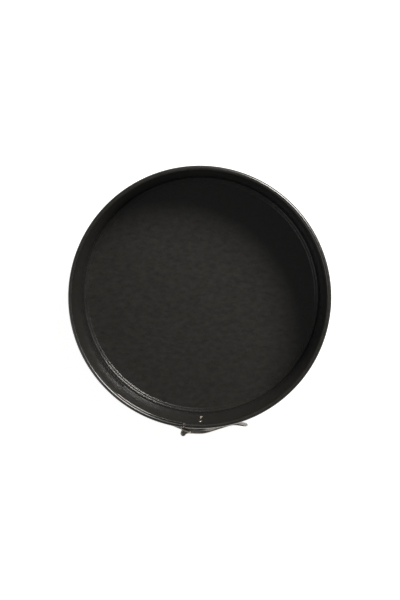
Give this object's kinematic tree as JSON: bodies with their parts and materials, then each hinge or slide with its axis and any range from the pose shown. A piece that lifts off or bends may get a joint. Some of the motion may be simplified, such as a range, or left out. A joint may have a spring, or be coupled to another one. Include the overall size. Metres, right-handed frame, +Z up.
{
  "type": "springform pan",
  "caption": "Round springform baking pan: a loose stepped base plate and a sprung steel ring with a rolled rim, closed by an over-centre lever latch.",
  "frame": {"origin": "on the pan's axis, in the plane of the base plate's underside", "axes": "+Z up along the pan's axis, latch towards -Y, +X to the right when facing the latch"},
  "size_m": [0.2497, 0.2587, 0.065],
  "materials": {
    "nonstick_coat": "near-black satin nonstick coating on sheet steel, finely mottled",
    "tinned_steel": "warm grey tin-plated steel, slightly worn"
  },
  "bodies": {
    "base": {"base_plate": "nonstick_coat"},
    "ring": {"band_right": "nonstick_coat", "fulcrum_bracket": "tinned_steel", "fulcrum_rivet_upper": "tinned_steel", "fulcrum_rivet_lower": "tinned_steel", "pivot_pin": "tinned_steel"},
    "ring_left": {"band_left": "nonstick_coat", "anchor_bracket": "tinned_steel", "anchor_rivet_upper": "tinned_steel", "anchor_rivet_lower": "tinned_steel"},
    "latch_lever": {"lever": "tinned_steel"},
    "latch_bail": {"bail": "tinned_steel"}
  },
  "joints": [
    {"name": "ring_lift", "type": "slide", "parent": "base", "child": "ring", "axis": [0, 0, 1], "range_m": [0, 0.08]},
    {"name": "band_open", "type": "hinge", "parent": "ring", "child": "ring_left", "pos_m": [0, 0.1253, 0.0325], "axis": [0, 0, -1], "range_deg": [0, 2.6]},
    {"name": "lever_swing", "type": "hinge", "parent": "ring", "child": "latch_lever", "pos_m": [-0.0159, -0.1312, 0.039], "axis": [0, 0, -1], "range_deg": [0, 130]},
    {"name": "bail_swing", "type": "hinge", "parent": "latch_lever", "child": "latch_bail", "pos_m": [-0.00914, -0.12939, 0.039], "axis": [0, 0, 1], "range_deg": [0, 175.5]}
  ],
  "couplings": [
    {"joint": "band_open", "follows": "lever_swing", "ratio": 0.02},
    {"joint": "bail_swing", "follows": "lever_swing", "ratio": 1.35}
  ]
}
